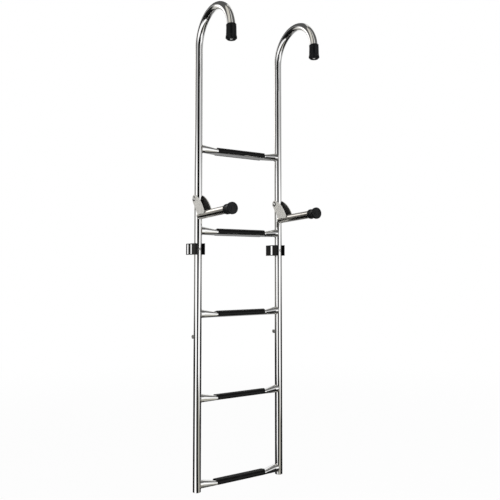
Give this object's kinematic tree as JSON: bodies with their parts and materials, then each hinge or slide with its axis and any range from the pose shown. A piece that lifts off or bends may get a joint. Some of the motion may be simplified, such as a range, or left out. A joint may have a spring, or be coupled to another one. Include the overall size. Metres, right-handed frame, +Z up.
{
  "type": "folding hook-over dock ladder",
  "caption": "Folding dock and boat ladder of bent stainless tube with hook rails, treaded rungs, stand-off arms and a lower section that folds up into clips.",
  "frame": {"origin": "the hooks' seat: midway between the rails, on the inner crown of the two hook bends", "axes": "+Z up, X along the rungs, the hooks and stand-off arms reach towards -Y"},
  "size_m": [0.3538, 0.2736, 1.5348],
  "materials": {
    "polished_stainless": "mirror-polished stainless steel",
    "stamped_stainless": "satin stamped stainless plate",
    "cap_rubber": "moulded black rubber",
    "tread_rubber": "ribbed black rubber",
    "clip_plastic": "moulded black plastic",
    "plug_plastic": "moulded plastic plug"
  },
  "bodies": {
    "upper_frame": {"rung_1_tube": "polished_stainless", "rung_1_tread": "tread_rubber", "rung_2_tube": "polished_stainless", "rung_2_tread": "tread_rubber", "rung_3_tube": "polished_stainless", "rung_3_tread": "tread_rubber", "left_upper_rail": "polished_stainless", "left_hook_cap": "cap_rubber", "left_hook_screw": "polished_stainless", "left_stow_clip": "clip_plastic", "left_clip_rivet": "polished_stainless", "left_hinge_cheeks": "polished_stainless", "left_hinge_pin": "polished_stainless", "left_pivot_bolt": "polished_stainless", "right_upper_rail": "polished_stainless", "right_hook_cap": "cap_rubber", "right_hook_screw": "polished_stainless", "right_stow_clip": "clip_plastic", "right_clip_rivet": "polished_stainless", "right_hinge_cheeks": "polished_stainless", "right_hinge_pin": "polished_stainless", "right_pivot_bolt": "polished_stainless"},
    "lower_section": {"rung_4_tube": "polished_stainless", "rung_4_tread": "tread_rubber", "rung_5_tube": "polished_stainless", "rung_5_tread": "tread_rubber", "left_lower_rail": "polished_stainless", "left_hinge_tongue": "polished_stainless", "left_foot_plug": "plug_plastic", "right_lower_rail": "polished_stainless", "right_hinge_tongue": "polished_stainless", "right_foot_plug": "plug_plastic"},
    "left_standoff": {"left_standoff_arm": "polished_stainless", "left_standoff_inner_ear": "stamped_stainless", "left_standoff_outer_ear": "stamped_stainless", "left_standoff_tip": "cap_rubber"},
    "right_standoff": {"right_standoff_arm": "polished_stainless", "right_standoff_inner_ear": "stamped_stainless", "right_standoff_outer_ear": "stamped_stainless", "right_standoff_tip": "cap_rubber"}
  },
  "joints": [
    {"name": "lower_section_fold", "type": "hinge", "parent": "upper_frame", "child": "lower_section", "pos_m": [0, 0.1225, -1.026], "axis": [1, 0, 0], "range_deg": [0, 180]},
    {"name": "left_standoff_swing", "type": "hinge", "parent": "upper_frame", "child": "left_standoff", "pos_m": [-0.1575, 0.103, -0.5835], "axis": [-1, 0, 0], "range_deg": [0, 90]},
    {"name": "right_standoff_swing", "type": "hinge", "parent": "upper_frame", "child": "right_standoff", "pos_m": [0.1575, 0.103, -0.5835], "axis": [-1, 0, 0], "range_deg": [0, 90]}
  ]
}
